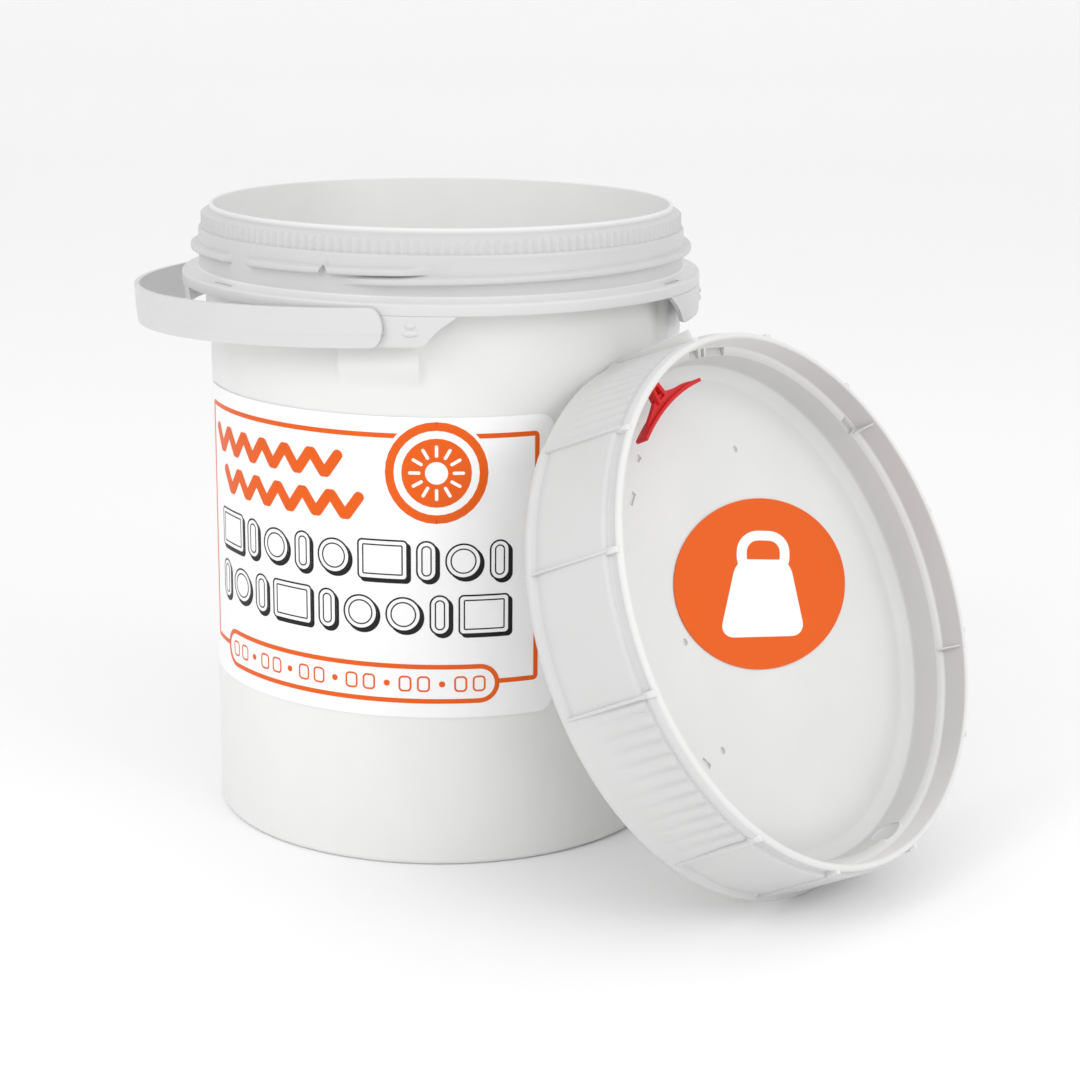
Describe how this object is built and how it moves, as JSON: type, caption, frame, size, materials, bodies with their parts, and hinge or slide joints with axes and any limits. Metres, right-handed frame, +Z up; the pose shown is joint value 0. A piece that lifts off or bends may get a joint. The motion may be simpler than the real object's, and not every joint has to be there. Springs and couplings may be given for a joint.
{
  "type": "screw-top pail",
  "caption": "Open white plastic screw-top pail with a swinging carry handle and a wrapped label, its screw lid with an oval sticker leaning on its side.",
  "frame": {"origin": "centre of the pail's flat base, on the ground", "axes": "+Z up along the pail's axis, +X to the right of the front of the label's side, -Y towards the front"},
  "size_m": [0.5098, 0.4525, 0.3755],
  "materials": {
    "pail_plastic": "satin",
    "handle_plastic": "satin",
    "label_film": "semi-gloss print",
    "lid_plastic": "satin",
    "latch_plastic": "gloss",
    "sticker_film": "semi-gloss print"
  },
  "bodies": {
    "pail_body": {"pail": "pail_plastic", "label": "label_film", "lid": "lid_plastic", "lid_latch": "latch_plastic", "lid_sticker": "sticker_film"},
    "handle_body": {"handle": "handle_plastic"}
  },
  "joints": [
    {"name": "handle_swing", "type": "hinge", "parent": "pail_body", "child": "handle_body", "pos_m": [0, 0, 0.3225], "axis": [0.2079, 0.9781, 0], "range_deg": [0, 180]}
  ]
}
